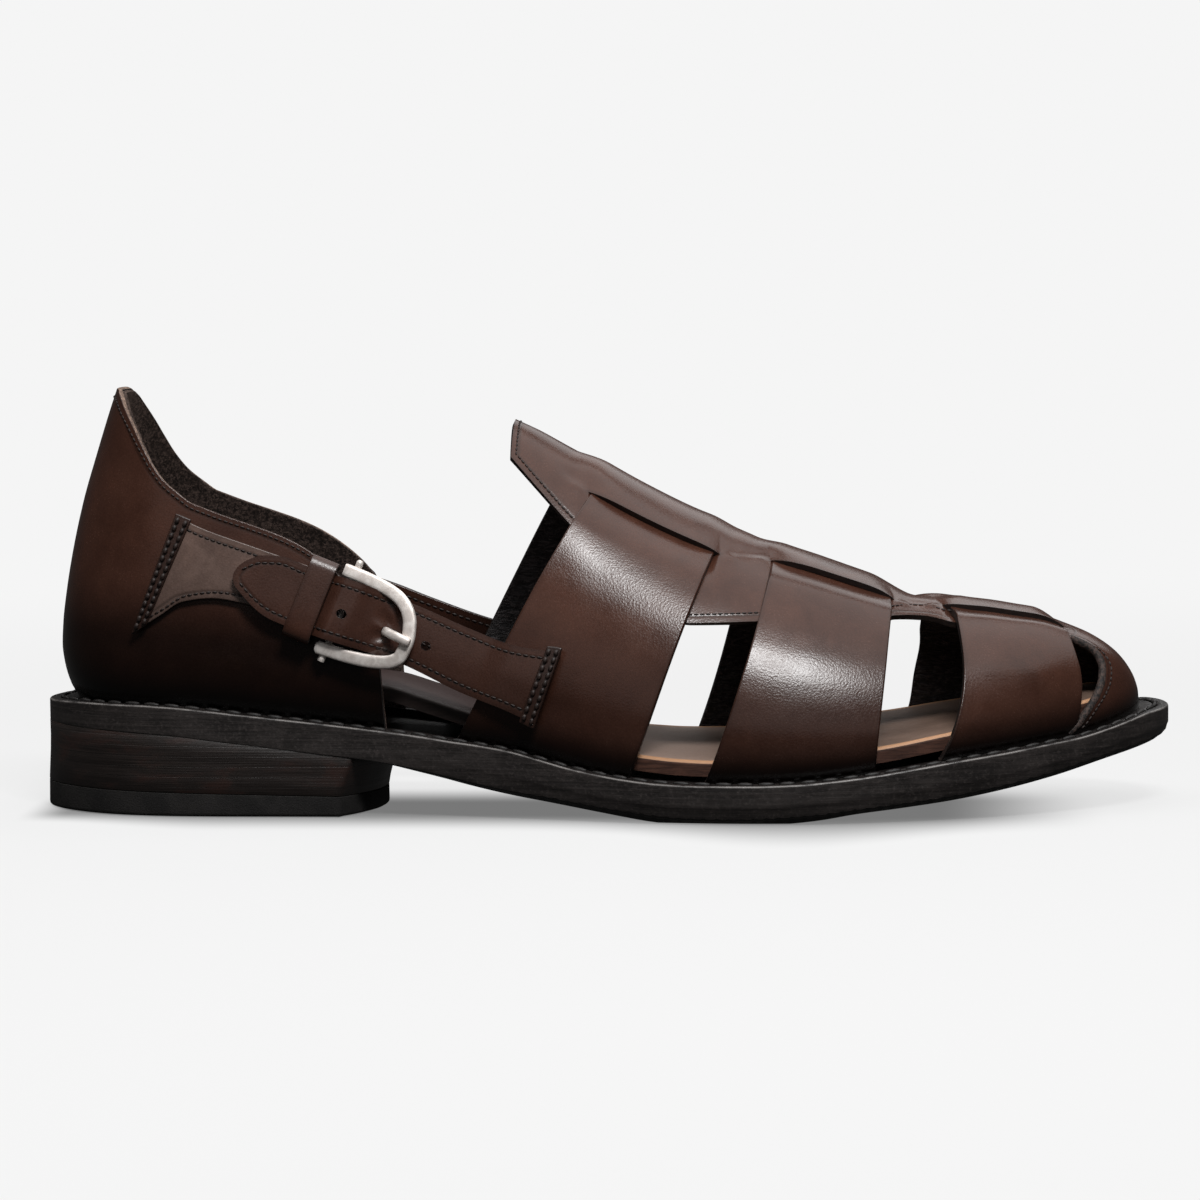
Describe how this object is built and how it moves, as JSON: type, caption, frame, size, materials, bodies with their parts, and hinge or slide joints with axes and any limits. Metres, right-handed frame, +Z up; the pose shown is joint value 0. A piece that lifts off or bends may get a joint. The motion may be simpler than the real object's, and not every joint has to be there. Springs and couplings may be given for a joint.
{
  "type": "fisherman sandal",
  "caption": "Closed-toe leather fisherman sandal with woven straps, high heel counter, ankle buckle strap, welted sole and low stacked heel, right foot.",
  "frame": {"origin": "middle of the outline seen from above, at the height of the floor under heel and ball", "axes": "+X from heel to toe, +Y towards the medial side, +Z up; the buckle is on the lateral side, -Y"},
  "size_m": [0.3042, 0.1021, 0.1134],
  "materials": {
    "upper_leather": "dark brown burnished calf, soft sheen",
    "welt_leather": "dark brown, stitched",
    "insole_leather": "tan leather, satin",
    "sole_leather": "dark painted edge, satin",
    "heel_leather": "stacked leather, satin",
    "lift_rubber": "matt black",
    "buckle_metal": "antique silver"
  },
  "bodies": {
    "root": {"upper": "upper_leather", "welt": "welt_leather", "insole": "insole_leather", "outsole": "sole_leather", "heel_stack": "heel_leather", "top_lift": "lift_rubber", "chape": "upper_leather", "buckle_strap": "upper_leather", "keeper": "upper_leather", "buckle_frame": "buckle_metal", "buckle_prong": "buckle_metal"}
  },
  "joints": []
}
